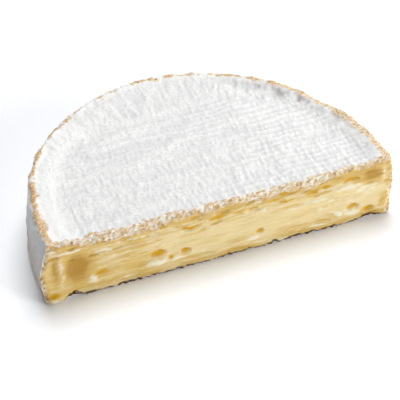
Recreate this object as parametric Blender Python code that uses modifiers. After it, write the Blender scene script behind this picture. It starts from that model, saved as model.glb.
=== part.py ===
"""Half a wheel of soft bloomy-rind cheese, lying on its flat base as it was cut.

Metres, +Z up. The cut runs along X and faces -Y, and the origin is the middle of the bottom of
the piece's bounding box. The half is turned as a whole wheel, pushed slightly out of round, and
then cut by a box, with the larger eyes of the paste opened on the cut by ellipsoids.
"""

import math

import bpy

# Driving dimensions of the whole wheel
WHEEL_RADIUS = 0.0700  # at the belly of its side
WHEEL_HEIGHT = 0.0305  # from the base to the crest of the rim
RIM_RADIUS = 0.0682  # where the side meets the rounded rim
RIM_ROUND = 0.0014
BASE_RADIUS = 0.0698  # where the side meets the rounded foot
FOOT_ROUND = 0.0020
BELLY_HEIGHT = 0.0140
TOP_DIP = 0.0008  # how far the flat top lies below the rim's crest
TOP_FLAT_RADIUS = 0.0560  # where the flat top starts to rise to the rim
ROUND_STEPS = 5  # straight runs along each rounded edge
SIDE_STEPS = 8  # straight runs up each half of the side
TURN_STEPS = 108  # steps round the wheel

# How a soft wheel leaves the round: lobes round it, their height, and the angle of the first crest
LOBES = (
    (3, 0.0018, math.radians(-10.3)),
    (4, 0.0010, math.radians(-29.3)),
)

# The cut, and the eyes that it opens: (along the cut, height, half length, half height, depth),
# with lengths along the cut counted from the wheel's axis
CUT_OFFSET = 0.0072  # the cut passes in front of the wheel's axis, so this half is the larger one
EYES = (
    (-0.0363, 0.0236, 0.0026, 0.0009, 0.0014),
    (-0.0242, 0.0112, 0.0036, 0.0014, 0.0022),
    (-0.0126, 0.0085, 0.0020, 0.0011, 0.0016),
    (0.0135, 0.0209, 0.0026, 0.0009, 0.0015),
    (0.0171, 0.0084, 0.0018, 0.0012, 0.0014),
    (0.0557, 0.0079, 0.0022, 0.0011, 0.0016),
)
EYE_SEGMENTS = 12
EYE_RINGS = 8

RIND_COLOUR = (0.88, 0.88, 0.86, 1.0)
RIND_ROUGHNESS = 0.85
PASTE_COLOUR = (0.82, 0.66, 0.34, 1.0)
PASTE_ROUGHNESS = 0.40


def clear_scene():
    """Remove every object of the scene."""
    for old in list(bpy.data.objects):
        bpy.data.objects.remove(old, do_unlink=True)


def new_collection(name):
    """A collection linked to the scene."""
    made = bpy.data.collections.new(name)
    bpy.context.scene.collection.children.link(made)
    return made


def move_to(collection, obj):
    """Put an object in one collection only."""
    for held in list(obj.users_collection):
        held.objects.unlink(obj)
    collection.objects.link(obj)


def principled(name, colour, roughness):
    """A plain, non-metallic material."""
    made = bpy.data.materials.new(name)
    made.use_nodes = True
    made.diffuse_color = colour
    shader = made.node_tree.nodes["Principled BSDF"]
    shader.inputs["Base Color"].default_value = colour
    shader.inputs["Roughness"].default_value = roughness
    shader.inputs["Metallic"].default_value = 0.0
    return made


def out_of_round(angle):
    """The wheel's radius at an angle, as a share of the true circle's."""
    return 1.0 + sum(
        height / WHEEL_RADIUS * math.cos(lobes * (angle - crest))
        for lobes, height, crest in LOBES
    )


def place_on_origin():
    """Where the wheel's axis goes, so that the half's bounding box is centred on the origin."""
    rim = []
    for step in range(TURN_STEPS):
        angle = math.tau * step / TURN_STEPS
        radius = WHEEL_RADIUS * out_of_round(angle)
        point = (radius * math.cos(angle), radius * math.sin(angle))
        if point[1] > -CUT_OFFSET:
            rim.append(point)
    left = min(point[0] for point in rim)
    right = max(point[0] for point in rim)
    back = max(point[1] for point in rim)
    return (-(left + right) / 2, -(back - CUT_OFFSET) / 2, 0.0)


def side_radius(height):
    """The side's radius at a height: two half parabolas that meet at the belly."""
    above = height > BELLY_HEIGHT
    end_radius = RIM_RADIUS if above else BASE_RADIUS
    end_height = WHEEL_HEIGHT - RIM_ROUND if above else FOOT_ROUND
    share = (height - BELLY_HEIGHT) / (end_height - BELLY_HEIGHT)
    return WHEEL_RADIUS - (WHEEL_RADIUS - end_radius) * share**2


def wheel_profile():
    """The turned profile as (radius, height): axis, top, rim, side, foot and back to the axis."""
    points = [(0.0, WHEEL_HEIGHT - TOP_DIP), (TOP_FLAT_RADIUS, WHEEL_HEIGHT - TOP_DIP)]
    crest = RIM_RADIUS - RIM_ROUND
    for step in range(1, ROUND_STEPS):
        share = step / ROUND_STEPS
        rise = (1 - math.cos(math.pi * share)) / 2
        radius = TOP_FLAT_RADIUS + (crest - TOP_FLAT_RADIUS) * share
        points.append((radius, WHEEL_HEIGHT - TOP_DIP * (1 - rise)))
    for step in range(ROUND_STEPS):
        turn = math.pi / 2 * step / ROUND_STEPS
        height = WHEEL_HEIGHT - RIM_ROUND + RIM_ROUND * math.cos(turn)
        points.append((crest + RIM_ROUND * math.sin(turn), height))
    side_top = WHEEL_HEIGHT - RIM_ROUND
    for step in range(SIDE_STEPS):
        height = side_top + (BELLY_HEIGHT - side_top) * step / SIDE_STEPS
        points.append((side_radius(height), height))
    for step in range(SIDE_STEPS):
        height = BELLY_HEIGHT + (FOOT_ROUND - BELLY_HEIGHT) * step / SIDE_STEPS
        points.append((side_radius(height), height))
    for step in range(ROUND_STEPS + 1):
        turn = math.pi / 2 * step / ROUND_STEPS
        radius = BASE_RADIUS - FOOT_ROUND + FOOT_ROUND * math.cos(turn)
        points.append((radius, FOOT_ROUND * (1 - math.sin(turn))))
    points.append((0.0, 0.0))
    return points


def turned_wheel(collection):
    """The whole wheel: the profile turned round Z, as an object with its Screw still live."""
    points = wheel_profile()
    mesh = bpy.data.meshes.new("wheel_profile")
    edges = [(i, i + 1) for i in range(len(points) - 1)]
    mesh.from_pydata([(radius, 0.0, height) for radius, height in points], edges, [])
    wheel = bpy.data.objects.new("wheel_profile", mesh)
    collection.objects.link(wheel)
    turn = wheel.modifiers.new("turn", "SCREW")
    turn.angle = math.tau
    turn.steps = TURN_STEPS
    turn.render_steps = TURN_STEPS
    turn.use_merge_vertices = True
    turn.merge_threshold = 0.00001
    return wheel


def soft_wheel(collection, rind):
    """The turned wheel as a plain mesh, with its outline pushed out of round."""
    turned = turned_wheel(collection)
    bpy.context.view_layer.update()
    evaluated = turned.evaluated_get(bpy.context.evaluated_depsgraph_get())
    mesh = bpy.data.meshes.new_from_object(evaluated)
    bpy.data.objects.remove(turned, do_unlink=True)
    for vertex in mesh.vertices:
        share = out_of_round(math.atan2(vertex.co.y, vertex.co.x))
        vertex.co.x *= share
        vertex.co.y *= share
    mesh.name = "half_cheese_wheel"
    mesh.materials.append(rind)
    wheel = bpy.data.objects.new("half_cheese_wheel", mesh)
    collection.objects.link(wheel)
    return wheel


def as_cutter(obj, collection, material):
    """Make the active primitive a helper that cuts and isn't part of the model."""
    bpy.ops.object.transform_apply(location=False, rotation=False, scale=True)
    obj.hide_render = True
    obj.display_type = "WIRE"
    obj.data.materials.append(material)
    move_to(collection, obj)
    return obj


def knife_block(axis, collection, paste):
    """The box that takes away everything in front of the cut."""
    size = 4 * WHEEL_RADIUS
    bpy.ops.mesh.primitive_cube_add(size=1.0)
    block = bpy.context.active_object
    block.name = "knife_block"
    block.scale = (size, size, size)
    block.location = (axis[0], axis[1] - CUT_OFFSET - size / 2, 0.0)
    return as_cutter(block, collection, paste)


def eye_cutters(axis, collection, paste):
    """An ellipsoid on the cut for each open eye."""
    for number, (along, height, half_length, half_height, depth) in enumerate(EYES, 1):
        bpy.ops.mesh.primitive_uv_sphere_add(segments=EYE_SEGMENTS, ring_count=EYE_RINGS, radius=1.0)
        eye = bpy.context.active_object
        eye.name = f"eye_{number}"
        eye.scale = (half_length, depth, half_height)
        eye.location = (axis[0] + along, axis[1] - CUT_OFFSET, height)
        as_cutter(eye, collection, paste)


def cut_by(obj, name, operand):
    """Take an object, or every object of a collection, away from the cheese."""
    cut = obj.modifiers.new(name, "BOOLEAN")
    cut.operation = "DIFFERENCE"
    cut.solver = "EXACT"
    cut.material_mode = "TRANSFER"
    if isinstance(operand, bpy.types.Collection):
        cut.operand_type = "COLLECTION"
        cut.collection = operand
    else:
        cut.object = operand


def half_cheese_wheel():
    """The half wheel, as one piece."""
    part = new_collection("half_cheese_wheel")
    cutters = new_collection("cutters")
    eyes = new_collection("eyes")
    rind = principled("rind", RIND_COLOUR, RIND_ROUGHNESS)
    paste = principled("paste", PASTE_COLOUR, PASTE_ROUGHNESS)
    axis = place_on_origin()
    cheese = soft_wheel(part, rind)
    cheese.location = axis
    cut_by(cheese, "knife", knife_block(axis, cutters, paste))
    eye_cutters(axis, eyes, paste)
    cut_by(cheese, "eyes", eyes)
    cheese.data.shade_smooth()
    cheese.data.set_sharp_from_angle(angle=math.radians(35))


clear_scene()
half_cheese_wheel()
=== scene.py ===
"""Half a wheel of soft bloomy-rind cheese, as it lies on its base with the cut in front.

The half is one closed skin of four sheets that share their edges: the top, the rim and side, the
cut and the base. Each sheet is a grid of two parameters, pushed out or in by relief that is
worked out from where each point lies. Metres, +Z up, the cut along X and facing -Y.
"""

import math

import bpy
import numpy as np
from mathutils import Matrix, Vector


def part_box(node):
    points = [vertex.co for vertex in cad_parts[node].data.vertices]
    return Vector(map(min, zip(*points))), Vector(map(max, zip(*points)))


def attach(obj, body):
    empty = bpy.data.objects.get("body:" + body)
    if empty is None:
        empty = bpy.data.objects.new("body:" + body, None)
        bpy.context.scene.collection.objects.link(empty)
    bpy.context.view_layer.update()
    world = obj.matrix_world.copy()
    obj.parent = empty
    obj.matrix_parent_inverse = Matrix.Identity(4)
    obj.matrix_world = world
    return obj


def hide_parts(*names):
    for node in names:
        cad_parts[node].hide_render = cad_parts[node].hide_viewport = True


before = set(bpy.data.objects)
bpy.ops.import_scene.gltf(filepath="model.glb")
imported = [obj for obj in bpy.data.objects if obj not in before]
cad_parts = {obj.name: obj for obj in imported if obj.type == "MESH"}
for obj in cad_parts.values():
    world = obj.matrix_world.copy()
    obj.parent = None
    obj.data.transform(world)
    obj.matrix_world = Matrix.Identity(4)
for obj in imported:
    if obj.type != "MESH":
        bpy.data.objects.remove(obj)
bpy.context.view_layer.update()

MM = 0.001
LONG = 50 * MM  # the size of noise along an axis where it shouldn't vary
NODE = "half_cheese_wheel"
LOW, HIGH = (np.array(corner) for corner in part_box(NODE))
WHEEL_HEIGHT = HIGH[2] - LOW[2]

# ---- The wheel's outline, as shares of its radius ----
LOBES = ((3, 0.0257, math.radians(-10.3)), (4, 0.0143, math.radians(-29.3)))
CUT_SHARE = 0.1029  # how far in front of the wheel's axis the cut passes
OUTLINE_POINTS = 4321  # where the outline is measured, round the whole wheel
CUT_ANGLE_ROUNDS = 30  # times that a ring's angle at the cut is put back in

# ---- The profile ----
RIM_INSET = 1.8 * MM  # the rim lies this far inside the belly
RIM_ROUND = 1.4 * MM
BASE_INSET = 0.2 * MM
FOOT_ROUND = 2.0 * MM
BELLY_SHARE = 0.459  # the belly's height, as a share of the wheel's
TOP_DIP = 1.1 * MM
BANK_WIDTH = 10.5 * MM  # from the flat of the top up to the rim's crest
SHEET_EDGE = 5.8 * MM  # the top sheet ends this far inside the rim's crest
# where the mat's flat print gives way to the puffier band beside the rim: (angle, radius in mm)
PRINT_EDGE = (
    (-0.3, 62.5), (0.1, 62.0), (0.35, 60.5), (0.63, 59.5), (1.0, 54.0), (1.46, 48.0), (1.8, 47.5),
    (2.1, 53.0), (2.41, 58.5), (2.98, 57.5), (3.4, 56.0),
)
MAT_SPACING = 2.7 * MM  # from one ridge of its print to the next
# the side swells beside each end of the cut: (how far, the height where it swells most, its reach
# up and down), and both bulges reach as far back from the cut
LEFT_BULGE = (1.3 * MM, 12.0 * MM, 8.0 * MM)
RIGHT_BULGE = (0.9 * MM, 22.0 * MM, 9.0 * MM)
BULGE_BACK = 9.0 * MM

# ---- How finely each sheet is divided ----
TOP_ACROSS = 288
TOP_DEEP = 114
ROUND_WHEEL = TOP_ACROSS + 2 * TOP_DEEP
BANK_ROWS = 9
RIM_ROWS = 5
SIDE_ROWS = 80
FOOT_ROWS = 10
BASE_RINGS = 8
SHARP_ANGLE = math.radians(55)

# ---- The cut: (along from the wheel's axis, height, half length, half height, depth), in mm ----
EYES = (
    (-36.4, 23.5, 2.6, 1.2, 1.2),
    (-23.9, 10.9, 3.6, 2.1, 1.5),
    (-12.8, 8.8, 2.1, 1.6, 1.2),
    (13.7, 20.9, 2.6, 1.3, 1.2),
    (17.1, 8.5, 1.8, 1.5, 1.2),
    (55.5, 8.2, 2.4, 1.4, 1.5),
)
SLITS = (
    (-29.6, 25.4, 2.6, 0.9, 0.5),
    (-22.8, 24.5, 2.8, 0.9, 0.6),
    (-10.8, 19.8, 4.2, 1.1, 0.7),
    (-8.3, 24.6, 2.8, 0.9, 0.6),
    (-0.9, 21.3, 4.0, 1.4, 0.8),
    (8.1, 21.4, 3.4, 0.9, 0.5),
    (18.2, 24.5, 1.6, 0.8, 0.5),
    (25.3, 24.4, 2.8, 0.9, 0.6),
    (28.1, 20.4, 3.8, 0.8, 0.4),
    (37.9, 21.2, 3.0, 1.0, 0.6),
    (44.0, 22.0, 3.2, 1.2, 0.7),
    (53.6, 22.6, 4.2, 1.2, 0.8),
    (61.8, 5.2, 3.0, 1.8, 1.6),
    (-19.2, 7.4, 1.3, 1.1, 0.7),
    (-46.0, 9.4, 2.8, 1.0, 0.5),
    (-38.0, 17.2, 3.0, 0.6, 0.3),
    (22.5, 22.2, 3.4, 0.7, 0.4),
    (-64.4, 3.4, 2.2, 1.1, 0.3),
)
# (along, height, half length, half height, strength) of colour patches, in mm
GOLDEN_PATCHES = (
    (-54.8, 15.0, 5.6, 8.6, 1.70),
    (-63.4, 17.0, 1.5, 9.0, 1.25),
    (62.8, 23.0, 5.2, 4.6, 1.35),
    (63.2, 27.0, 3.0, 1.6, 0.75),
    (67.6, 7.5, 0.8, 3.0, 0.85),
    (61.9, 4.2, 3.0, 1.4, 0.85),
    (64.5, 2.0, 4.5, 1.5, 1.25),
    (-46.0, 8.0, 7.0, 2.2, 0.60),
    (-34.0, 9.0, 14.0, 5.0, 0.30),
    (-64.6, 3.6, 2.2, 1.6, 0.90),
)
# pale smears of paste, partly painted highlight: most lie on the lips that LIPS raises
PALE_AND_LIT_PATCHES = (
    (52.8, 19.3, 6.4, 1.1, 1.10),
    (60.5, 16.0, 6.0, 3.4, 0.55),
    (-43.9, 20.3, 3.6, 1.0, 0.95),
    (-23.8, 7.2, 4.4, 1.9, 1.05),
    (-16.6, 6.6, 2.8, 1.2, 1.00),
    (14.6, 6.2, 2.6, 1.1, 0.95),
    (49.7, 6.8, 1.8, 1.3, 1.10),
    (54.8, 5.8, 4.2, 1.2, 1.00),
    (-61.1, 17.0, 0.9, 10.0, 0.60),
    (-57.0, 24.3, 5.8, 1.0, 0.72),
    (-49.0, 7.6, 1.6, 2.6, 0.80),
    (67.4, 22.6, 1.2, 4.0, 0.60),
    (30.6, 15.9, 5.0, 0.5, 0.75),
    (40.8, 16.5, 6.5, 0.6, 0.70),
    (-2.0, 17.6, 9.0, 0.7, 0.40),
    (-26.0, 15.0, 10.0, 0.7, 0.50),
    (-64.5, 26.5, 1.6, 1.0, 0.80),
    (-47.0, 27.5, 4.0, 0.8, 0.50),
    (-64.8, 1.2, 2.0, 0.8, 0.90),
    (54.0, 12.0, 13.0, 6.0, 0.30),
)
# where the knife left the paste smooth: (along, height, half length, half height, how smooth)
CALM = (
    (-58.0, 15.0, 11.0, 12.0, 0.90),
    (8.0, 13.0, 22.0, 5.0, 0.60),
    (33.0, 11.0, 14.0, 6.0, 0.60),
    (59.0, 14.0, 13.0, 10.0, 0.85),
    (64.0, 23.0, 7.0, 5.0, 0.85),
)
# raised lips and ridges: (along, height, half length, half height, height above the cut)
LIPS = (
    (-61.1, 18.0, 0.9, 8.0, 0.60),
    (-57.0, 24.3, 5.6, 0.8, 0.50),
    (-23.8, 7.4, 4.2, 1.3, 0.70),
    (-16.6, 6.8, 2.6, 0.9, 0.40),
    (14.8, 6.3, 2.4, 0.9, 0.50),
    (49.7, 6.6, 1.7, 1.1, 0.60),
    (54.8, 6.2, 3.8, 0.8, 0.40),
    (52.8, 19.4, 6.4, 0.8, 0.55),
    (-49.0, 7.6, 1.6, 2.6, 0.50),
    (-43.9, 20.3, 3.6, 0.8, 0.40),
    (67.4, 22.6, 1.2, 4.0, 0.40),
    (35.0, 16.3, 12.0, 0.45, 0.35),
    (-63.6, 1.6, 3.4, 2.6, 1.30),
)
# how deep the crumbly rind reaches under the top: (along, depth), in mm
RIND_DEPTH = ((-66, 4.2), (-50, 4.4), (-38, 5.4), (30, 5.4), (45, 4.4), (60, 2.8), (71, 2.4))
# the lowest layer was dragged back under this wavering line: (along, height), in mm
DRAGGED_LINE = (
    (-66, 2.5), (-50, 4.0), (-30, 4.6), (-9, 5.7), (2, 3.4), (10, 3.2), (14, 4.8), (21, 4.4),
    (29, 6.5), (43, 5.5), (52, 4.4), (62, 2.6), (71, 2.5),
)

LEFT_FOOT_END = (-61.0, -59.5)  # left of this, the cut's lower edge stands on the board unbroken


# ---- Numbers ----
LATTICE = 256  # the noise repeats after this many cells, and the number is a power of two
NOISE_GAIN = 1.7  # brings the noise to about -1 to 1


def smooth_step(low, high, value):
    """0 below low, 1 above high, and the cubic 3t^2 - 2t^3 between."""
    share = np.clip((value - low) / (high - low), 0.0, 1.0)
    return share * share * (3.0 - 2.0 * share)


def bell(value, middle, reach):
    """1 at the middle, falling off to both sides as the Gauss bell exp(-t^2)."""
    return np.exp(-(((value - middle) / reach) ** 2))


def plateau(value, rise, fall):
    """0, then smoothly up to 1 over one range and back to 0 over another."""
    return smooth_step(*rise, value) * (1.0 - smooth_step(*fall, value))


def noise(points, size, seed):
    """Gradient noise, about -1 to 1: random slopes at the corners of a lattice of cells of this
    size, one size or one for each axis, blended by the quintic 6t^5 - 15t^4 + 10t^3."""
    draw = np.random.default_rng(seed)
    slopes = draw.normal(size=(LATTICE, 3))
    slopes /= np.linalg.norm(slopes, axis=1, keepdims=True)
    order = draw.permutation(LATTICE)
    scaled = points / np.asarray(size)
    cell = np.floor(scaled).astype(np.int64)
    part = scaled - cell
    blend = part**3 * (part * (part * 6.0 - 15.0) + 10.0)
    total = np.zeros(points.shape[:-1])
    for corner in np.ndindex(2, 2, 2):
        key = np.zeros(points.shape[:-1], np.int64)
        for axis in range(3):
            key = order[(key + cell[..., axis] + corner[axis]) & (LATTICE - 1)]
        rise = (slopes[key] * (part - corner)).sum(-1)
        weight = np.where(corner, blend, 1.0 - blend).prod(-1)
        total += weight * rise
    return total * NOISE_GAIN


def layered(points, size, seed, layers=2):
    """Noise added to itself at half the size and half the height, for each further layer."""
    size = np.asarray(size, float)
    return sum(noise(points, size / 2**i, seed + i) / 2**i for i in range(layers))


def colour(red, green, blue):
    """An sRGB colour of 0 to 255 as the linear one that a shader takes."""
    parts = np.array([red, green, blue]) / 255.0
    linear = np.where(parts <= 0.04045, parts / 12.92, ((parts + 0.055) / 1.055) ** 2.4)
    return (*linear.tolist(), 1.0)


def out_of_round(angle):
    """The outline's radius at an angle, as a share of the true circle's: one plus its lobes."""
    return 1.0 + sum(
        height * np.cos(count * (angle - crest)) for count, height, crest in LOBES
    )


def wheel_from_box():
    """The wheel's radius and axis: the unit outline behind the cut is as wide as the CAD's box."""
    angle = np.linspace(-math.pi / 2, 1.5 * math.pi, OUTLINE_POINTS)
    radius = out_of_round(angle)
    across = (radius * np.cos(angle))[radius * np.sin(angle) > -CUT_SHARE]
    scale = (HIGH[0] - LOW[0]) / (across.max() - across.min())
    return scale, np.array([LOW[0] - across.min() * scale, LOW[1] + CUT_SHARE * scale])


WHEEL_RADIUS, AXIS = wheel_from_box()
CUT_OFFSET = CUT_SHARE * WHEEL_RADIUS
CUT_Y = LOW[1]
CREST_RADIUS = WHEEL_RADIUS - RIM_INSET - RIM_ROUND
TOP_FLAT = LOW[2] + WHEEL_HEIGHT - TOP_DIP


# ---- Shapes ----
def polar(place):
    """The angle round the wheel's axis, 0 on its right and pi on its left, and the radius as it
    would be without the outline's lobes."""
    away = place[..., :2] - AXIS
    angle = np.arctan2(away[..., 1], away[..., 0])
    angle = np.where(angle < -math.pi / 2, angle + math.tau, angle)
    return angle, np.hypot(away[..., 0], away[..., 1]) / out_of_round(angle)


def top_height(radius):
    """The top's height: flat, then a cosine bank up to the rim's crest."""
    share = np.clip((radius - CREST_RADIUS + BANK_WIDTH) / BANK_WIDTH, 0.0, 1.0)
    return TOP_FLAT + TOP_DIP * (1.0 - np.cos(math.pi * share)) / 2.0


def rim_and_side():
    """Rows of (radius, height) from the top sheet's edge over the rim and down to the base: a
    bank, a quarter circle, a side of two half parabolas that meet at the belly, and another
    quarter circle. Also each row's outward direction and its run from the rim's crest."""
    top = LOW[2] + WHEEL_HEIGHT
    belly = LOW[2] + BELLY_SHARE * WHEEL_HEIGHT
    bank = CREST_RADIUS - SHEET_EDGE * np.linspace(1.0, 0.0, BANK_ROWS, endpoint=False)
    turn = np.linspace(0.0, math.pi / 2, RIM_ROWS, endpoint=False)
    side = np.linspace(top - RIM_ROUND, LOW[2] + FOOT_ROUND, SIDE_ROWS, endpoint=False)
    tuck = np.linspace(0.0, math.pi / 2, FOOT_ROWS + 1)
    inset = np.where(
        side > belly,
        RIM_INSET * ((side - belly) / (top - RIM_ROUND - belly)) ** 2,
        BASE_INSET * ((side - belly) / (LOW[2] + FOOT_ROUND - belly)) ** 2,
    )
    foot_radius = WHEEL_RADIUS - BASE_INSET - FOOT_ROUND
    radius = np.concatenate([
        bank,
        CREST_RADIUS + RIM_ROUND * np.sin(turn),
        WHEEL_RADIUS - inset,
        foot_radius + FOOT_ROUND * np.cos(tuck),
    ])
    height = np.concatenate([
        top_height(bank),
        top - RIM_ROUND * (1.0 - np.cos(turn)),
        side,
        LOW[2] + FOOT_ROUND * (1.0 - np.sin(tuck)),
    ])
    along = np.stack([np.gradient(radius), np.gradient(height)], -1)
    along /= np.linalg.norm(along, axis=1, keepdims=True)
    outward = np.stack([-along[:, 1], along[:, 0]], -1)
    run = np.concatenate([[0.0], np.hypot(np.diff(radius), np.diff(height)).cumsum()])
    return radius, height, outward, run - run[BANK_ROWS]


def cut_angles(radius):
    """The angles where a ring of this radius meets the cut, right and left: each is the arcsine
    of the cut's offset over the radius there, found by putting the answer back in."""
    right = np.zeros_like(radius)
    left = np.full_like(radius, math.pi)
    for _ in range(CUT_ANGLE_ROUNDS):
        right = -np.arcsin(CUT_OFFSET / (radius * out_of_round(right)))
        left = math.pi + np.arcsin(CUT_OFFSET / (radius * out_of_round(left)))
    return right, left


def end_bulges(place):
    """How far the side swells along X beside the cut's ends: a bell along Y and another in Z."""
    beside_cut = bell(place[..., 1], CUT_Y, BULGE_BACK)
    left, right = (
        size * bell(place[..., 2] - LOW[2], height, reach)
        for size, height, reach in (LEFT_BULGE, RIGHT_BULGE)
    )
    return beside_cut * np.where(place[..., 0] < AXIS[0], -left, right)


def ring_rows(radius, height, outward, steps):
    """A grid of rings: each row runs at even angles from the cut's right end round to its left."""
    right, left = cut_angles(radius)
    share = np.linspace(0.0, 1.0, steps + 1)
    angle = right[:, None] + (left - right)[:, None] * share
    reach = radius[:, None] * out_of_round(angle)
    place = np.stack([
        AXIS[0] + reach * np.cos(angle),
        AXIS[1] + reach * np.sin(angle),
        np.broadcast_to(height[:, None], angle.shape),
    ], -1)
    place[:, [0, -1], 1] = CUT_Y
    place[..., 0] += end_bulges(place)
    way = np.stack([
        outward[:, :1] * np.cos(angle),
        outward[:, :1] * np.sin(angle),
        np.broadcast_to(outward[:, 1:], angle.shape),
    ], -1)
    return place, way


def coons(front, back, left, right):
    """A sheet between four curves: the two ways of ruling across it, less their shared corners.
    front and back run left to right, left and right run front to back."""
    across = np.linspace(0.0, 1.0, len(front))[None, :, None]
    deep = np.linspace(0.0, 1.0, len(left))[:, None, None]
    ruled = (1 - deep) * front[None] + deep * back[None]
    ruled = ruled + (1 - across) * left[:, None] + across * right[:, None]
    corners = (1 - deep) * ((1 - across) * front[0] + across * front[-1])
    return ruled - corners - deep * ((1 - across) * back[0] + across * back[-1])


class Skin:
    """The points of the whole skin, kept in blocks, with what is known of each point."""

    def __init__(self):
        self.count = 0
        self.blocks = {name: [] for name in ("place", "way", "run", "depth", "side_in", "base_in")}
        self.faces = []
        self.cut = None

    def keep(self, place, way=(0.0, 0.0, 0.0), run=0.0, depth=0.0, side_in=0.0, base_in=0.0):
        """Add a block of points and give back its numbers, in the block's shape."""
        shape = place.shape[:-1]
        known = {"run": run, "depth": depth, "side_in": side_in, "base_in": base_in}
        self.blocks["place"].append(place.reshape(-1, 3))
        self.blocks["way"].append(np.broadcast_to(way, (*shape, 3)).reshape(-1, 3))
        for name, value in known.items():
            self.blocks[name].append(np.broadcast_to(value, shape).reshape(-1))
        numbers = self.count + np.arange(math.prod(shape))
        self.count += len(numbers)
        return numbers.reshape(shape)

    def known(self, name):
        """One fact about every point."""
        return np.concatenate(self.blocks[name])

    def sheet(self, numbers, material, flip):
        """The quads of a grid of points, facing up when its rows run across and then deep."""
        quads = np.stack([numbers[:-1, :-1], numbers[:-1, 1:], numbers[1:, 1:], numbers[1:, :-1]], -1)
        quads = quads.reshape(-1, 4)
        self.faces.append((quads[:, ::-1] if flip else quads, material))

    def halving(self, fine, coarse, material):
        """Three triangles to each step of the coarse row, which meets two of the fine row."""
        start, middle, end = fine[:-1:2], fine[1::2], fine[2::2]
        below, next_below = coarse[:-1], coarse[1:]
        threes = (
            (middle, start, below),
            (next_below, middle, below),
            (end, middle, next_below),
        )
        self.faces.extend((np.stack(three, -1), material) for three in threes)

    def fan(self, loop, middle, material):
        """Triangles from a closed loop to one point, facing down for a loop that runs left-handed."""
        ahead = np.roll(loop, -1)
        centre = np.full_like(loop, middle)
        self.faces.append((np.stack([ahead, loop, centre], -1), material))


RIND, PASTE = 0, 1


def rim_sheet(skin):
    """The bank, rim, side and foot. The rows above the side have twice the steps round."""
    radius, height, outward, run = rim_and_side()
    split = BANK_ROWS + RIM_ROWS + 1
    fine_place, fine_way = ring_rows(radius[:split], height[:split], outward[:split], ROUND_WHEEL)
    fine = skin.keep(fine_place, fine_way, run[:split, None])
    coarse_place, coarse_way = ring_rows(
        radius[split:], height[split:], outward[split:], ROUND_WHEEL // 2
    )
    coarse = skin.keep(coarse_place, coarse_way, run[split:, None])
    skin.sheet(fine, RIND, flip=True)
    skin.halving(fine[-1], coarse[0], RIND)
    skin.sheet(coarse, RIND, flip=True)
    left = np.concatenate([fine[:, -1], coarse[:, -1]])
    right = np.concatenate([fine[:, 0], coarse[:, 0]])
    return fine, coarse, left, right, fine_place[0]


def top_sheet(skin, fine, edge):
    """The flat of the top: a sheet between the cut and three stretches of the rim sheet's edge."""
    chord = np.linspace(edge[-1], edge[0], TOP_ACROSS + 1)
    place = coons(
        chord,
        edge[TOP_DEEP:TOP_DEEP + TOP_ACROSS + 1][::-1],
        edge[TOP_DEEP + TOP_ACROSS:][::-1],
        edge[:TOP_DEEP + 1],
    )
    _, radius = polar(place)
    place[..., 2] = top_height(radius)
    numbers = np.empty(place.shape[:2], np.int64)
    numbers[:, -1] = fine[0, :TOP_DEEP + 1]
    numbers[-1] = fine[0, TOP_DEEP:TOP_DEEP + TOP_ACROSS + 1][::-1]
    numbers[:, 0] = fine[0, TOP_DEEP + TOP_ACROSS:][::-1]
    inner = place[:-1, 1:-1]
    numbers[:-1, 1:-1] = skin.keep(inner, (0.0, 0.0, 1.0), radius[:-1, 1:-1] - CREST_RADIUS)
    skin.sheet(numbers, RIND, flip=False)
    return numbers


def cut_sheet(skin, top_row, left, right, place_of):
    """The cut: straight columns from the top edge to the base edge, bent near the ends to meet
    the side's profile."""
    crest = BANK_ROWS + RIM_ROWS
    upper = np.concatenate([left[crest::-1], top_row[1:-1], right[:crest + 1]])
    top_edge = place_of(upper)
    left_edge, right_edge = place_of(left[crest:]), place_of(right[crest:])
    share = np.linspace(0.0, 1.0, len(left_edge))[:, None, None]
    across = np.linspace(0.0, 1.0, len(upper))[:, None]
    base_edge = left_edge[-1] + (right_edge[-1] - left_edge[-1]) * across
    base_edge[:, 0] = np.interp(
        top_edge[:, 0],
        (top_edge[0, 0], top_edge[-1, 0]),
        (left_edge[-1, 0], right_edge[-1, 0]),
    )
    place = top_edge[None] + (base_edge - top_edge)[None] * share
    for edge, column, from_end in (
        (left_edge, 0, place[..., 0] - place[:, :1, 0]),
        (right_edge, -1, place[:, -1:, 0] - place[..., 0]),
    ):
        bend = edge[:, None] - place[:, [column]]
        reach = 1.0 - smooth_step(0.0, 10 * MM, from_end)
        place = place + bend * reach[..., None]
    numbers = np.empty(place.shape[:2], np.int64)
    numbers[0], numbers[:, 0], numbers[:, -1] = upper, left[crest:], right[crest:]
    inner = place[1:, 1:-1]
    depth = place[:1, 1:-1, 2] - inner[..., 2]
    side_in = np.minimum(inner[..., 0] - place[1:, :1, 0], place[1:, -1:, 0] - inner[..., 0])
    numbers[1:, 1:-1] = skin.keep(
        inner, run=1.0, depth=depth, side_in=side_in, base_in=inner[..., 2] - LOW[2]
    )
    skin.sheet(numbers, PASTE, flip=True)
    skin.cut = numbers
    return numbers


def base_sheet(skin, coarse, cut, place_of):
    """The base: rings drawn in from its outline to one middle point."""
    loop = np.concatenate([coarse[-1], cut[-1, 1:-1]])
    outline = place_of(loop)
    middle = np.array([AXIS[0], (LOW[1] + HIGH[1]) / 2, LOW[2]])
    share = np.linspace(0.0, 1.0, BASE_RINGS, endpoint=False)[1:, None, None]
    rings = skin.keep(outline + (middle - outline) * share, run=1.0)
    rings = np.concatenate([loop[None], rings])
    centre = skin.keep(middle[None], run=1.0)[0]
    skin.sheet(np.concatenate([rings, rings[:, :1]], 1), RIND, flip=True)
    skin.fan(rings[-1], centre, RIND)


def half_wheel_skin():
    """The four sheets, joined."""
    skin = Skin()

    def place_of(numbers):
        return skin.known("place")[numbers]

    fine, coarse, left, right, edge = rim_sheet(skin)
    top = top_sheet(skin, fine, edge)
    cut = cut_sheet(skin, top[0], left, right, place_of)
    base_sheet(skin, coarse, cut, place_of)
    return skin


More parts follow.
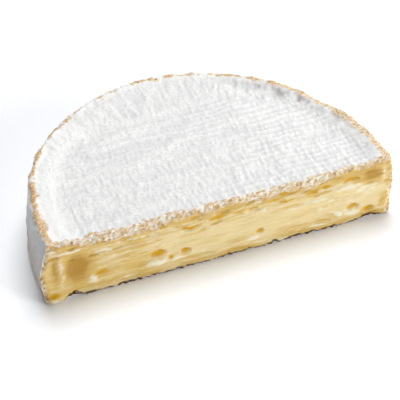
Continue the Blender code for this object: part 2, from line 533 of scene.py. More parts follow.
# ---- Relief ----
def along_mm(place):
    """How far to the right of the wheel's axis each point lies, in mm."""
    return (place[..., 0] - AXIS[0]) / MM


def height_mm(place):
    """How far above the base each point lies, in mm."""
    return (place[..., 2] - LOW[2]) / MM


def rim_band(place):
    """1 in the puffy band between the mat's print and the rim, 0 on the print."""
    angle, radius = polar(place)
    edge = np.interp(angle, *zip(*PRINT_EDGE)) * MM + 1.5 * MM * layered(place, 10 * MM, seed=10)
    return smooth_step(edge - 2.5 * MM, edge + 2.5 * MM, radius)


def pits(place):
    """Dents in a row along the right rear's bank: noise that runs round the wheel, kept above a
    level, under a bell across the bank."""
    angle, radius = polar(place)
    round_rim = np.stack([angle * WHEEL_RADIUS, 0.7 * radius, 0 * radius], -1)
    row = 0.25 + 0.75 * smooth_step(-0.30, 0.35, layered(round_rim, 7.0 * MM, seed=25, layers=4))
    across = bell(radius - CREST_RADIUS, -3.4 * MM, 2.6 * MM)
    stretch = plateau(angle, (-0.1, 0.2), (0.85, 1.25))
    broken = smooth_step(-0.4, 0.4, layered(place, 4.0 * MM, seed=27))
    return row * across * stretch * (0.35 + 0.65 * broken)


def mat_marks(place):
    """What the draining mat pressed into the top, in mm: long lines and close ridges along X and
    short strokes along Y, giving way near the rim to flutes at the rear and dents at the right."""
    angle, radius = polar(place)
    right = smooth_step(-25 * MM, 30 * MM, place[..., 0] - AXIS[0])
    front = 1.0 - smooth_step(8 * MM, 40 * MM, place[..., 1] - CUT_Y)
    band = rim_band(place)
    rear = plateau(angle, (0.4, 1.0), (2.4, 2.9))
    right_rear = 1.0 - smooth_step(0.9, 1.5, angle)
    wander = 0.9 * MM * layered(place, 12 * MM, seed=11)
    rows = np.cos((place[..., 1] + wander) * math.tau / MAT_SPACING)
    rows = rows * smooth_step(-0.3, 0.5, noise(place, (16 * MM, 9 * MM, LONG), seed=14) + right - 0.6)
    swayed = np.array(place)
    swayed[..., 1] += 1.6 * wander
    lines = layered(swayed, (22 * MM, 2.2 * MM, LONG), seed=16, layers=3)
    blotches = layered(place, 3.2 * MM, seed=20)
    strokes = noise(place, (1.3 * MM, 6 * MM, LONG), seed=15)
    short = noise(place, (1.1 * MM, 3 * MM, LONG), seed=12)
    arc = np.stack([angle * 60 * MM, radius, 0 * radius], -1)
    flutes = layered(arc, (2.6 * MM, 9 * MM, 1.0), seed=13, layers=3)
    dents = layered(place, 6 * MM, seed=19)
    printed = 0.13 * rows * (0.3 + right) + lines * (0.25 - 0.13 * front) + 0.10 * blotches
    printed = printed + (0.16 * strokes * (0.5 + front) + 0.13 * short) * (0.6 + 0.5 * right)
    puffy = 0.23 * flutes * rear + 0.6 * dents * right_rear + 0.12 * strokes - 1.5 * pits(place)
    return printed * (1.0 - band) + puffy * band


def top_marks(place):
    """The mat's marks with the shoulder round them, a steeper hem at the right rear, a slow swell
    and a fine felt, in metres."""
    angle, radius = polar(place)
    band = rim_band(place)
    inside = radius - CREST_RADIUS
    shoulder = 0.5 * band * (1.0 - smooth_step(-7 * MM, -1 * MM, inside))
    steep = plateau(angle, (0.0, 0.4), (1.0, 1.6))
    hem = steep * (0.9 * smooth_step(-4.5 * MM, 0.5 * MM, inside) - 0.3 * band)
    felt = layered(place, 1.2 * MM, seed=17)
    swell = layered(place, 18 * MM, seed=18)
    return (mat_marks(place) + shoulder + hem + 0.15 * felt + 0.30 * swell) * MM


def side_marks(place):
    """The side's soft dents, its slack wrinkles and its felt."""
    dents = layered(place, 16 * MM, seed=21)
    slack = layered(place, (7 * MM, 7 * MM, 2.6 * MM), seed=22)
    felt = layered(place, 1.8 * MM, seed=23)
    return (0.65 * dents + 0.30 * slack + 0.08 * felt) * MM


def rim_marks(place):
    """The rim's lumps and crumbs."""
    angle, _ = polar(place)
    lumps = layered(place, 8 * MM, seed=31) * (0.55 + 0.35 * (1.0 - smooth_step(0.6, 1.2, angle)))
    crumbs = layered(place, 2.0 * MM, seed=32)
    return (lumps + 0.34 * crumbs) * MM


def inside_rim(run):
    """1 on the top and 0 from the rim's crest outwards."""
    return 1.0 - smooth_step(-4 * MM, -0.5 * MM, run)


def rind_relief(place, run):
    """How far the rind stands out: the mat's marks inside the rim, the rim's own lumps within a
    few millimetres of its crest, and the side's dents below."""
    on_top = inside_rim(run)
    on_side = smooth_step(1 * MM, 6 * MM, run)
    on_rim = (1.0 - on_top) * (1.0 - on_side)
    return on_top * top_marks(place) + on_rim * rim_marks(place) + on_side * side_marks(place)


def on_the_cut(place):
    """Each point's place on the cut in mm, along from the wheel's axis and up from the base, made
    a little uneven so that what is drawn there has no true ellipses or straight lines."""
    along = along_mm(place) + 0.7 * layered(place, 4.5 * MM, seed=81)
    height = height_mm(place) + 0.45 * layered(place, 3.5 * MM, seed=82)
    return along, height


def strongest(along, height, patches):
    """The strongest of several soft ellipses, each a bell of its own strength."""
    best = np.zeros_like(along)
    for middle, level, half_length, half_height, strength in patches:
        far = ((along - middle) / half_length) ** 2 + ((height - level) / half_height) ** 2
        best = np.maximum(best, strength * np.exp(-far))
    return best


def hollow(along, height, holes):
    """How deep the holes are: each is half an ellipsoid, tilted to be deepest at its upper edge."""
    deepest = np.zeros_like(along)
    for middle, level, half_length, half_height, depth in holes:
        up = (height - level) / half_height
        far = ((along - middle) / half_length) ** 2 + up**2
        tilt = 0.6 + 0.5 * np.clip(up, -1.0, 1.0)
        deepest = np.maximum(deepest, depth * tilt * np.sqrt(np.clip(1.0 - far, 0.0, 1.0)))
    return deepest


def lenses(place):
    """Small flat openings along the ripened layer under the rind: noise drawn out along the cut,
    kept above a level, between 16 and 26 mm up."""
    layer = plateau(height_mm(place), (15.5, 19.0), (25.0, 27.0))
    return layer * smooth_step(0.30, 0.60, layered(place, (7 * MM, LONG, 1.9 * MM), seed=46))


def dragged(along, height):
    """1 below the wavering line near the base and 0 above it."""
    line = np.interp(along, *zip(*DRAGGED_LINE))
    return 1.0 - smooth_step(line - 0.25, line + 0.25, height)


def wavering(place):
    """Points whose height wavers along the cut, so that what follows it runs in waves."""
    moved = np.array(place)
    moved[..., 2] += 0.6 * MM * layered(place * (1.0, 0.0, 1.0), (24 * MM, 1.0, 12 * MM), seed=40)
    return moved


def rind_edge(place, depth, side_in, base_in):
    """1 at the cut's edge and 0 where the rind ends, which is deepest under the top."""
    uneven = np.clip(1.05 + 0.6 * layered(place, 9 * MM, seed=71, layers=4), 0.4, 1.7)
    under_top = np.interp(along_mm(place), *zip(*RIND_DEPTH)) * MM
    return np.clip(np.maximum.reduce([
        1.0 - depth / (under_top * uneven),
        1.0 - side_in / (1.9 * MM * uneven),
        1.0 - base_in / (0.8 * MM * uneven),
    ]), 0.0, 1.0)


def cut_relief(place, depth, side_in, base_in):
    """How far the cut stands out, in metres: smears and drag lines that the knife left along it,
    lips, less the eyes and slits and the layer dragged back at the base, with a crumbled bevel
    where it passes through the rind."""
    along, height = on_the_cut(place)
    waved = wavering(place)
    smear = smooth_step(-0.15, 0.15, layered(waved, (22 * MM, LONG, 4.0 * MM), seed=41))
    drag = layered(waved, (9 * MM, LONG, 1.2 * MM), seed=42)
    waves = layered(waved, (15 * MM, LONG, 8 * MM), seed=43)
    calm = 1.0 - strongest(along, height, CALM)
    paste = (0.28 * smear + 0.20 * drag + 0.42 * waves) * calm + strongest(along, height, LIPS)
    paste = paste - hollow(along, height, EYES) - hollow(along, height, SLITS)
    paste = paste - 0.45 * dragged(along, height) - 0.35 * lenses(place)
    in_rind = smooth_step(0.15, 0.55, rind_edge(place, depth, side_in, base_in))
    crumble = 0.62 * layered(place, 1.5 * MM, seed=44) - 0.25 * smooth_step(0.3, 1.0, in_rind)
    return (paste * (1.0 - in_rind) + crumble * in_rind) * MM


def bites(along):
    """How high, in mm, the base's front edge is broken away along the cut: a long step beside the
    left foot, which itself stands on the board, and two shallow bays."""
    step = 1.1 * plateau(along, (-60.6, -59.4), (-55.0, -51.0))
    return step + 0.5 * bell(along, 33.0, 3.5) + 1.2 * bell(along, 62.5, 3.6)


def notches(place):
    """Small ragged notches along the cut's lower edge, none of them in the left foot, in mm."""
    chips = smooth_step(0.25, 0.85, layered(place * (1.0, 0.0, 0.0), 5.0 * MM, seed=51, layers=4))
    return (0.10 + 0.65 * chips) * smooth_step(*LEFT_FOOT_END, along_mm(place))


def base_lift(place):
    """Where the base's front edge stands off the board, along the cut."""
    near_cut = np.exp(-(place[..., 1] - CUT_Y) / (5 * MM))
    near_base = 1.0 - smooth_step(0.0, 5 * MM, place[..., 2] - LOW[2])
    return (bites(along_mm(place)) + notches(place)) * MM * near_cut * near_base


def follow_edges(place, shift, cut):
    """How the cut's inner points move with its edges: the move of the point straight above, and of
    those straight to the left and right, each fading out over a few millimetres."""
    inner = place[cut[1:, 1:-1]]
    above, left, right = cut[:1, 1:-1], cut[1:, :1], cut[1:, -1:]
    moves = (
        (above, place[above, 2] - inner[..., 2]),
        (left, inner[..., 0] - place[left, 0]),
        (right, place[right, 0] - inner[..., 0]),
    )
    fades = (shift[edge] * (1.0 - smooth_step(0.0, 5 * MM, far))[..., None] for edge, far in moves)
    return sum(fades)


HAIR = 0.01 * MM  # a point this close to the base or the cut lies on it


def shaped(skin):
    """Every point moved by its relief. The rind near the cut follows the cut's own relief, and the
    cut's points follow the rind's."""
    place, run = skin.known("place"), skin.known("run")
    rind = np.linalg.norm(skin.known("way"), axis=1) > 0.5
    rise = np.zeros(len(place))
    rise[rind] = rind_relief(place[rind], run[rind])
    on_cut = place * (1.0, 0.0, 1.0) + (0.0, CUT_Y, 0.0)
    push = cut_relief(on_cut, skin.known("depth"), skin.known("side_in"), skin.known("base_in"))
    push *= 1.0 - smooth_step(0.0, 3 * MM, place[:, 1] - CUT_Y)
    on_base = (place[:, 2] < LOW[2] + HAIR) & (place[:, 1] > CUT_Y + HAIR)
    push[on_base] = 0.0
    shift = skin.known("way") * rise[:, None]
    shift[:, 1] *= smooth_step(0.0, 1 * MM, place[:, 1] - CUT_Y)
    shift[skin.cut[1:, 1:-1]] = follow_edges(place, shift, skin.cut)
    moved = place + shift
    moved[:, 1] -= push
    moved[:, 2] += base_lift(place)
    moved[:, 2] = np.maximum(moved[:, 2], LOW[2])
    return moved


# ---- Attributes ----
def worn_rind(place, run):
    """Where the white mould is rubbed away: patches along the rim's crest that close up at the two
    ends of the cut, with flecks beside the cut. At the left rear the band is moved out past the crest
    and kept less broken, as painted shade of the side seen edge-on."""
    angle, _ = polar(place)
    left_end = bell(angle, 3.05, 0.30)
    right_end = bell(angle, 0.0, 0.55)
    patches = 1.2 * layered(place, 4.5 * MM, seed=61) + 1.4 * left_end + 0.9 * right_end
    patches = smooth_step(-0.40, 0.25, patches)
    right_rear = bell(angle, 0.45, 0.40)
    # partly painted shade: at the left rear the worn band sits further out and is less broken,
    # standing in for the side's shaded edge
    left_rear_shade = plateau(angle, (1.3, 1.8), (2.7, 3.0))
    wide = 1.2 + 0.9 * layered(place, 7 * MM, seed=62) + left_end + right_end + 0.7 * right_rear
    band = bell(run / MM, 0.7 * left_rear_shade - 0.3, np.maximum(wide, 0.7))
    reach = np.clip(1.3 + 1.3 * layered(place, 5 * MM, seed=63, layers=3), 0.2, 3.0) * MM
    beside_cut = 1.0 - smooth_step(0.2 * reach, reach, place[:, 1] - CUT_Y)
    on_top = 1.0 - smooth_step(-1 * MM, 1 * MM, run)
    on_top = np.maximum(on_top, 1.0 - smooth_step(0.0, 2 * MM, place[:, 2] - LOW[2]))
    least = 0.3 + 0.2 * left_rear_shade
    band = band * (least + (1.0 - least) * patches)
    return np.clip(np.maximum(band, 0.72 * beside_cut * on_top), 0.0, 1.0)


def rind_numbers(place, run, depth, side_in):
    """For the rind: how worn it is, the painted light on the band by the rim on the left and on the
    right of the top, where the bared rim is paler, the painted shade in the pits and in the low
    places of the mat's print, and how much tanner the side grows from the rim down. For the rind that
    the cut passes through: where it is tan instead of white."""
    angle, _ = polar(place)
    along = place[:, 0] - AXIS[0]
    # painted light: the band by the rim on the left and the right of the top are painted whiter, as
    # if lit more
    lit_left_bank = rim_band(place) * smooth_step(1.7, 2.5, angle)
    lit_right = 0.5 * smooth_step(-10 * MM, 45 * MM, along) * (1.0 - rim_band(place))
    paler = 0.25 + 0.75 * (1.0 - smooth_step(0.3, 1.2, angle)) - 0.25 * smooth_step(1.6, 2.0, angle)
    near_cut = (1.0 - smooth_step(2 * MM, 5 * MM, place[:, 1] - CUT_Y)) * (angle < 2.6)
    beside = (1.0 - smooth_step(1 * MM, 4 * MM, side_in)) * (depth > 0.5 * MM)
    right_end = smooth_step(40 * MM, 60 * MM, along)
    return {
        "worn": worn_rind(place, run),
        "painted_light": lit_left_bank + lit_right,
        "pale_rim": np.maximum(paler, near_cut),
        # painted shade: greyer where the pits along the right rear's bank sink in
        "pit_shade": pits(place),
        # painted shade: grey in the low places of the mat's print, following its relief
        "dip_shade": inside_rim(run) * smooth_step(-0.30, 0.30, -mat_marks(place)),
        # tanner and darker from the rim down the side and over the base
        "down_the_side": smooth_step(4 * MM, 20 * MM, run),
        "tan_rind": np.maximum(beside, 0.7 * right_end),
    }


def cut_numbers(place, depth, side_in, base_in):
    """For the cut: how far into the rind each point is, how golden and how pale the paste is, with
    pale smears that are partly painted highlight on its lips, where the eyes shine deep gold, the
    painted contact shadow as a dark line along its lower edge, higher where the base's edge is broken
    away, where the knife left it calm, and how its streaks waver."""
    along, height = on_the_cut(place)
    uneven = np.clip(1.0 + 0.35 * layered(place, 5 * MM, seed=73), 0.5, 1.5)
    ripe = np.maximum.reduce([
        1.0 - smooth_step(4.0 * MM, 8.5 * MM * uneven, depth),
        0.8 - 0.8 * smooth_step(1.0 * MM, 4.5 * MM * uneven, side_in),
        0.45 * dragged(along, height),
        0.42 - 0.42 * smooth_step(-45.0, -5.0, along),
    ])
    golden = np.maximum(0.60 * ripe, strongest(along, height, GOLDEN_PATCHES))
    golden = golden + 0.45 * lenses(place) * (1.0 - smooth_step(0.6, 1.2, golden))
    holes = np.clip(hollow(along, height, EYES) + hollow(along, height, SLITS) / 0.6, 0.0, 1.0)
    upper_half = strongest(along, height - 0.5, [(*hole[:4], 1.0) for hole in EYES + SLITS])
    streak = layered(wavering(place), (14 * MM, LONG, 1.3 * MM), seed=72)
    calm = strongest(along, height, CALM)
    streak = 0.5 * smooth_step(0.15, 0.8, streak) * (1.0 - calm)
    # pale smears and streaks, partly painted highlight on the raised lips and ridges
    pale = strongest(along, height, PALE_AND_LIT_PATCHES) + streak
    pale = pale * (1.0 - 0.6 * holes) * (1.0 - smooth_step(0.6, 1.2, golden))
    true_along = along_mm(place)
    # painted contact shadow: how high the dark line along the cut's lower edge reaches, higher at the
    # notches and bites
    broken = 0.45 + 0.9 * notches(place) + 0.5 * bites(true_along)
    broken = broken * np.clip(1.0 + 0.8 * layered(place, 2.5 * MM, seed=74), 0.4, 1.6)
    broken = broken * MM * smooth_step(*LEFT_FOOT_END, true_along)
    contact_shadow = 1.0 - smooth_step(0.8 * broken, 1.2 * broken + 0.02 * MM, place[..., 2] - LOW[2])
    return {
        "rind_edge": rind_edge(place, depth, side_in, base_in),
        "golden": np.clip(golden, 0.0, 1.6),
        "pale": np.clip(pale, 0.0, 1.3),
        "eye": smooth_step(0.25, 0.80, upper_half),
        "contact_shadow": contact_shadow,
        "calm": calm,
        "waver": (wavering(place) - place)[:, 2],
    }


def give_numbers(mesh, numbers):
    """A number for each point of the mesh, under each name."""
    for name, values in numbers.items():
        made = mesh.attributes.new(name, "FLOAT", "POINT")
        made.data.foreach_set("value", np.ascontiguousarray(values, np.float32))


def skin_mesh(name, points, faces):
    """A mesh of quads and triangles, each with its material's number."""
    mesh = bpy.data.meshes.new(name)
    mesh.vertices.add(len(points))
    mesh.vertices.foreach_set("co", np.ascontiguousarray(points, np.float32).reshape(-1))
    corners = np.concatenate([group.reshape(-1) for group, _ in faces])
    sizes = np.concatenate([np.full(len(group), group.shape[1]) for group, _ in faces])
    slots = np.concatenate([np.full(len(group), material) for group, material in faces])
    starts = np.concatenate([[0], np.cumsum(sizes)[:-1]])
    mesh.loops.add(len(corners))
    mesh.loops.foreach_set("vertex_index", corners.astype(np.int32))
    mesh.polygons.add(len(sizes))
    mesh.polygons.foreach_set("loop_start", starts.astype(np.int32))
    mesh.polygons.foreach_set("material_index", slots.astype(np.int32))
    mesh.update(calc_edges=True)
    mesh.validate()
    return mesh


# ---- Materials ----
FELT_GREY = colour(233, 233, 232)
# painted light: the felt's whiter colour where it is painted as lit
FELT_LIT = colour(238, 238, 237)
FELT_SPECKLE = colour(201, 201, 201)
# painted shade in the low places of the mat's print
DIP_SHADE_GREY = colour(208, 208, 208)
# painted shade in the pits
PIT_SHADE_GREY = colour(170, 163, 161)
# the side's tanner, darker colour further down
SIDE_TAN = colour(200, 185, 168)
RIM_TAN = colour(212, 182, 140)
RIM_CREAM = colour(230, 212, 180)
RIM_BROWN = colour(184, 142, 94)
RIM_SPECK = colour(136, 98, 62)
PASTE_CREAM = colour(242, 220, 164)
PASTE_GOLD = colour(224, 188, 102)
PASTE_AMBER = colour(190, 142, 32)
# pale smears, partly painted highlight
PASTE_PALE_LIT = colour(255, 246, 220)
EYE_GOLD = colour(218, 167, 18)
CUT_RIND_CREAM = colour(240, 220, 184)
CUT_RIND_TAN = colour(212, 174, 118)
CUT_RIND_WHITE = colour(252, 244, 232)
CUT_RIND_SPECK = colour(150, 106, 62)
# painted contact shadow along the cut's lower edge
CONTACT_SHADOW_BROWN = colour(84, 54, 14)

MIX_COLOURS = (6, 7)  # the colour sockets of a Mix node, which also has others of these names
MIX_RESULT = 2


class Shader:
    """A material's node tree, with short ways to add to it."""

    def __init__(self, name):
        self.material = bpy.data.materials.new(name)
        self.material.use_nodes = True
        self.tree = self.material.node_tree
        self.principled = self.tree.nodes["Principled BSDF"]
        self.coords = self.node("ShaderNodeTexCoord").outputs["Object"]

    def node(self, kind, inputs=None, **settings):
        """One node: its settings, and its inputs as numbers or as links from other nodes."""
        made = self.tree.nodes.new(kind)
        for name, value in settings.items():
            setattr(made, name, value)
        for name, value in (inputs or {}).items():
            self.feed(made.inputs[name], value)
        return made

    def feed(self, socket, value):
        """Link a socket, or set its number."""
        if isinstance(value, bpy.types.NodeSocket):
            self.tree.links.new(value, socket)
        else:
            socket.default_value = value

    def attribute(self, name):
        """The number that the mesh gives each point under this name."""
        return self.node("ShaderNodeAttribute", attribute_name=name).outputs["Fac"]

    def grain(self, size, detail=2.0, stretch=(1.0, 1.0, 1.0), distortion=0.0):
        """Noise whose lumps are about this size in metres, drawn out along an axis by stretch."""
        mapped = self.node(
            "ShaderNodeMapping",
            {"Vector": self.coords, "Scale": tuple(1.0 / (size * part) for part in stretch)},
        ).outputs["Vector"]
        inputs = {"Vector": mapped, "Scale": 1.0, "Detail": detail, "Distortion": distortion}
        return self.node("ShaderNodeTexNoise", inputs).outputs["Fac"]

    def math(self, operation, *values):
        """The result of one step of arithmetic."""
        made = self.node("ShaderNodeMath", operation=operation)
        for socket, value in zip(made.inputs, values):
            self.feed(socket, value)
        return made.outputs[0]

    def ramp(self, value, low, high, out_low=0.0, out_high=1.0):
        """A smooth step from one number to another as value goes from low to high."""
        inputs = {
            "Value": value, "From Min": low, "From Max": high, "To Min": out_low, "To Max": out_high,
        }
        return self.node("ShaderNodeMapRange", inputs, interpolation_type="SMOOTHSTEP").outputs[0]

    def stirred(self, value, grain, amount):
        """A number moved up and down by a grain, by at most half the amount either way."""
        moved = self.math("MULTIPLY", self.math("SUBTRACT", grain, 0.5), amount)
        return self.math("ADD", value, moved)

    def mix(self, share, first, second):
        """One colour blended into another by a share."""
        made = self.node("ShaderNodeMix", data_type="RGBA")
        self.feed(made.inputs["Factor"], share)
        for index, value in zip(MIX_COLOURS, (first, second)):
            self.feed(made.inputs[index], value)
        return made.outputs[MIX_RESULT]

    def bump(self, height, strength, distance, normal=None):
        """A normal tilted by a height, on top of an earlier one if there is one."""
        inputs = {"Height": height, "Strength": strength, "Distance": distance}
        if normal is not None:
            inputs["Normal"] = normal
        return self.node("ShaderNodeBump", inputs).outputs["Normal"]

    def finish(self, **sockets):
        """Feed the Principled node."""
        for name, value in sockets.items():
            self.feed(self.principled.inputs[name.replace("_", " ")], value)
        return self.material


def bloomy_rind():
    """White mould like felt, with painted light on the left bank and the right of the top, painted
    shade in the low places of the mat's print and in the pits, tanner down the side, worn through to
    tan and brown at the rim.
    """
    s = Shader("bloomy_rind")
    # painted light: whiter felt on the lit left bank and the right of the top
    painted_light = s.ramp(s.stirred(s.attribute("painted_light"), s.grain(9 * MM, 3.0), 1.2), 0.0, 1.0)
    white = s.mix(painted_light, FELT_GREY, FELT_LIT)
    speckle = s.ramp(s.grain(0.8 * MM, 3.0), 0.44, 0.72, 0.0, 0.7)
    speckle = s.math("MULTIPLY", speckle, s.ramp(painted_light, 0.3, 1.0, 1.0, 0.35))
    white = s.mix(speckle, white, FELT_SPECKLE)
    # painted shade in the low places of the mat's print, less where the felt is painted lit
    dip_shade = s.math("MULTIPLY", s.attribute("dip_shade"), s.ramp(painted_light, 0.3, 1.0, 0.75, 0.45))
    white = s.mix(dip_shade, white, DIP_SHADE_GREY)
    # painted shade in the pits along the right rear's bank
    white = s.mix(s.math("MULTIPLY", s.attribute("pit_shade"), 0.9), white, PIT_SHADE_GREY)
    # tanner and darker down the side, in mottled patches
    mottled = s.ramp(s.grain(4.5 * MM, 5.0), 0.28, 0.72, 0.25, 0.75)
    white = s.mix(s.math("MULTIPLY", s.attribute("down_the_side"), mottled), white, SIDE_TAN)
    worn = s.stirred(s.attribute("worn"), s.grain(1.5 * MM, 4.0), 1.3)
    worn = s.ramp(s.stirred(worn, s.grain(5.0 * MM, 2.0), 1.0), 0.36, 0.92)
    tan = s.mix(s.attribute("pale_rim"), RIM_TAN, RIM_CREAM)
    tan = s.mix(s.ramp(s.grain(1.1 * MM, 3.0), 0.44, 0.68), tan, RIM_BROWN)
    specks = s.ramp(s.grain(0.8 * MM, 2.0, distortion=0.8), 0.60, 0.70)
    tan = s.mix(specks, tan, RIM_SPECK)
    felt = s.bump(s.grain(0.55 * MM, 3.0), 0.45, 0.25 * MM)
    return s.finish(
        Base_Color=s.mix(worn, white, tan),
        Roughness=s.ramp(worn, 0.0, 1.0, 0.95, 0.6),
        Normal=s.bump(s.grain(1.6 * MM, 2.0), 0.35, 0.5 * MM, felt),
        Sheen_Weight=0.1,
        Sheen_Roughness=0.6,
        Specular_IOR_Level=0.2,
    )


def paste_colour(s, streaks):
    """Cream, golden in layers and patches, with pale smears that are partly painted highlight on the
    raised lips, and deep gold eyes.
    """
    streak_amount = s.ramp(s.attribute("calm"), 0.0, 0.8, 0.6, 0.1)
    broad = s.grain(2.6 * MM, 3.0, stretch=(5.0, 5.0, 1.0))
    broad_amount = s.ramp(s.attribute("calm"), 0.0, 0.8, 1.9, 1.0)
    golden = s.stirred(s.attribute("golden"), broad, broad_amount)
    golden = s.stirred(golden, streaks, streak_amount)
    base = s.mix(s.ramp(golden, -0.1, 0.5), PASTE_CREAM, PASTE_GOLD)
    base = s.mix(s.ramp(golden, 0.50, 1.35), base, PASTE_AMBER)
    pale = s.stirred(s.attribute("pale"), streaks, streak_amount)
    pale = s.stirred(pale, s.grain(2.0 * MM, 3.0, stretch=(1.6, 1.6, 1.0)), 1.4)
    # pale smears, partly painted highlight
    base = s.mix(s.ramp(pale, 0.15, 0.85, 0.0, 0.95), base, PASTE_PALE_LIT)
    return s.mix(s.math("MULTIPLY", s.attribute("eye"), 0.95), base, EYE_GOLD)


def cut_rind_colour(s, edge):
    """The crumbly rind that the cut passes through: cream and tan, with white flecks and specks."""
    smears = s.grain(1.3 * MM, 3.0, stretch=(1.8, 1.8, 1.0))
    skin = s.mix(s.ramp(smears, 0.42, 0.64), CUT_RIND_CREAM, CUT_RIND_TAN)
    flecks = s.grain(1.5 * MM, 3.0, stretch=(1.6, 1.6, 1.0), distortion=0.5)
    flecks = s.math("ADD", flecks, s.math("MULTIPLY", edge, 0.12))
    flecks = s.math("SUBTRACT", flecks, s.math("MULTIPLY", s.attribute("tan_rind"), 0.12))
    skin = s.mix(s.ramp(flecks, 0.56, 0.67), skin, CUT_RIND_WHITE)
    specks = s.grain(0.8 * MM, 2.0, stretch=(1.5, 1.5, 1.0), distortion=0.8)
    return s.mix(s.ramp(specks, 0.64, 0.74, 0.0, 0.8), skin, CUT_RIND_SPECK)


def ripe_paste():
    """The cut: the paste, whose streaks waver and fade where it is calm, through to a crumbly tan
    rind edge."""
    s = Shader("ripe_paste")
    straight = s.coords
    lift = s.node("ShaderNodeCombineXYZ", {"Z": s.attribute("waver")}).outputs["Vector"]
    waved = s.node("ShaderNodeVectorMath", {0: straight, 1: lift}, operation="ADD")
    s.coords = waved.outputs["Vector"]
    streaks = s.grain(0.6 * MM, 3.0, stretch=(14.0, 14.0, 1.0))
    base = paste_colour(s, streaks)
    ridge_strength = s.ramp(s.attribute("calm"), 0.0, 0.8, 0.5, 0.1)
    lines = s.bump(streaks, ridge_strength, 0.5 * MM)
    wet = s.ramp(s.grain(3.0 * MM, 2.0, stretch=(6.0, 6.0, 1.0)), 0.35, 0.65, 0.25, 0.48)
    s.coords = straight
    edge = s.stirred(s.attribute("rind_edge"), s.grain(0.9 * MM, 4.0), 0.9)
    in_rind = s.ramp(edge, 0.12, 0.42)
    base = s.mix(in_rind, base, cut_rind_colour(s, edge))
    return s.finish(
        # painted contact shadow: a dark brown line along the cut's lower edge
        Base_Color=s.mix(s.attribute("contact_shadow"), base, CONTACT_SHADOW_BROWN),
        Roughness=s.math("ADD", wet, s.math("MULTIPLY", in_rind, 0.35)),
        Normal=s.bump(s.grain(0.7 * MM, 3.0), 0.2, 0.3 * MM, lines),
        Specular_IOR_Level=s.ramp(s.attribute("eye"), 0.0, 1.0, 0.5, 0.15),
        Subsurface_Weight=0.25,
        Subsurface_Radius=(1.0, 0.55, 0.2),
        Subsurface_Scale=2 * MM,
    )


# ---- Piece ----
def put_in_scene(name, data):
    """An object of the scene, made from its mesh, light or camera."""
    made = bpy.data.objects.new(name, data)
    bpy.context.scene.collection.objects.link(made)
    return made


def half_wheel():
    """The whole piece, in place of the CAD's plain solid."""
    skin = half_wheel_skin()
    place, run = skin.known("place"), skin.known("run")
    depth, side_in, base_in = (skin.known(name) for name in ("depth", "side_in", "base_in"))
    mesh = skin_mesh("half_wheel", shaped(skin), skin.faces)
    give_numbers(mesh, rind_numbers(place, run, depth, side_in))
    give_numbers(mesh, cut_numbers(place, depth, side_in, base_in))
    mesh.materials.append(bloomy_rind())
    mesh.materials.append(ripe_paste())
    mesh.shade_smooth()
    mesh.set_sharp_from_angle(angle=SHARP_ANGLE)
    piece = put_in_scene("half_wheel", mesh)
    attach(piece, "root")
    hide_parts(NODE)


# ---- Stage ----
FLOOR_RADIUS = 0.38
FLOOR_SIDES = 96
FLOOR_BELOW = 0.05 * MM  # so that it doesn't share a plane with the base
FLOOR_WHITE = (0.907, 0.93, 0.963, 1.0)
FLOOR_GLOW = (1.0, 0.88, 0.78, 1.0)  # a faint warm glow, so that the contact shadow isn't blue
# (name, place, size, watts) of the square lights, which all face the middle of the base
SOFTBOXES = (
    ("front", (0.77, -0.81, 0.44), 0.6, 9.2),
    ("overhead", (0.11, 0.30, 1.16), 0.75, 15.2),
)
WORLD_LIGHT = 0.02  # how strongly the world lights the piece, though the camera sees it at 1


def floor():
    """A plain white floor: a disc that glows faintly and ends where the white world goes on."""
    mesh = bpy.data.meshes.new("floor")
    turn = np.linspace(0.0, math.tau, FLOOR_SIDES, endpoint=False)
    level = np.full_like(turn, LOW[2] - FLOOR_BELOW)
    rim = np.stack([FLOOR_RADIUS * np.cos(turn), FLOOR_RADIUS * np.sin(turn), level], -1)
    mesh.from_pydata(rim.tolist(), [], [tuple(range(len(turn)))])
    s = Shader("floor_white")
    mesh.materials.append(s.finish(
        Base_Color=FLOOR_WHITE,
        Roughness=0.9,
        Emission_Color=FLOOR_GLOW,
        Emission_Strength=0.05,
    ))
    obj = put_in_scene("floor", mesh)


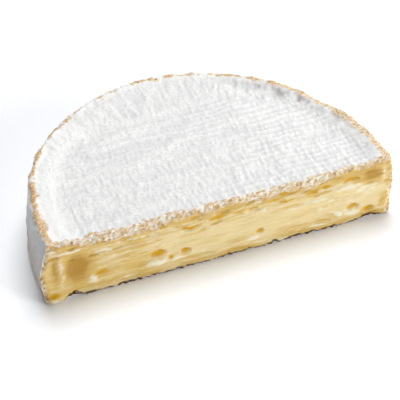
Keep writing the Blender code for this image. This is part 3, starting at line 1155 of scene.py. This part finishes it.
def softbox(name, place, size, watts):
    """A square area light, turned to face the middle of the base."""
    data = bpy.data.lights.new(name, "AREA")
    data.shape = "SQUARE"
    data.size = size
    data.energy = watts
    light = put_in_scene(name, data)
    light.location = place
    light.rotation_euler = (-Vector(place)).to_track_quat("-Z", "Y").to_euler()


def studio():
    """A low box in front to the right, a large one overhead and a little behind, and a world that
    looks white but lights the piece only faintly."""
    for light in SOFTBOXES:
        softbox(*light)
    world = bpy.data.worlds.new("studio")
    bpy.context.scene.world = world
    world.use_nodes = True
    nodes, links = world.node_tree.nodes, world.node_tree.links
    background = nodes["Background"]
    background.inputs["Color"].default_value = (1.0, 1.0, 1.0, 1.0)
    seen = nodes.new("ShaderNodeLightPath").outputs["Is Camera Ray"]
    strength = nodes.new("ShaderNodeMapRange")
    strength.inputs["To Min"].default_value = WORLD_LIGHT
    links.new(seen, strength.inputs["Value"])
    links.new(strength.outputs["Result"], background.inputs["Strength"])
    bpy.context.scene.view_settings.view_transform = "Standard"


CAMERA_TURN = math.radians(-20.87)  # from straight in front of the cut, towards its left end
CAMERA_RISE = math.radians(43.47)
CAMERA_AWAY = 632 * MM
CAMERA_LENS = 147.4  # mm
CAMERA_SENSOR = 36.0
AIM_FROM_AXIS = 2.3 * MM
AIM_BEHIND_CUT = 24.8 * MM
AIM_HEIGHT = 7.8 * MM


def camera():
    """Long lens, from above and in front, a little to the left of the cut."""
    data = bpy.data.cameras.new("camera")
    data.lens = CAMERA_LENS
    data.sensor_width = CAMERA_SENSOR
    aim = Vector((AXIS[0] + AIM_FROM_AXIS, CUT_Y + AIM_BEHIND_CUT, LOW[2] + AIM_HEIGHT))
    back = Vector((
        math.sin(CAMERA_TURN) * math.cos(CAMERA_RISE),
        -math.cos(CAMERA_TURN) * math.cos(CAMERA_RISE),
        math.sin(CAMERA_RISE),
    ))
    obj = put_in_scene("camera", data)
    obj.location = aim + back * CAMERA_AWAY
    obj.rotation_euler = back.to_track_quat("Z", "Y").to_euler()
    bpy.context.scene.camera = obj


half_wheel()
floor()
studio()
camera()
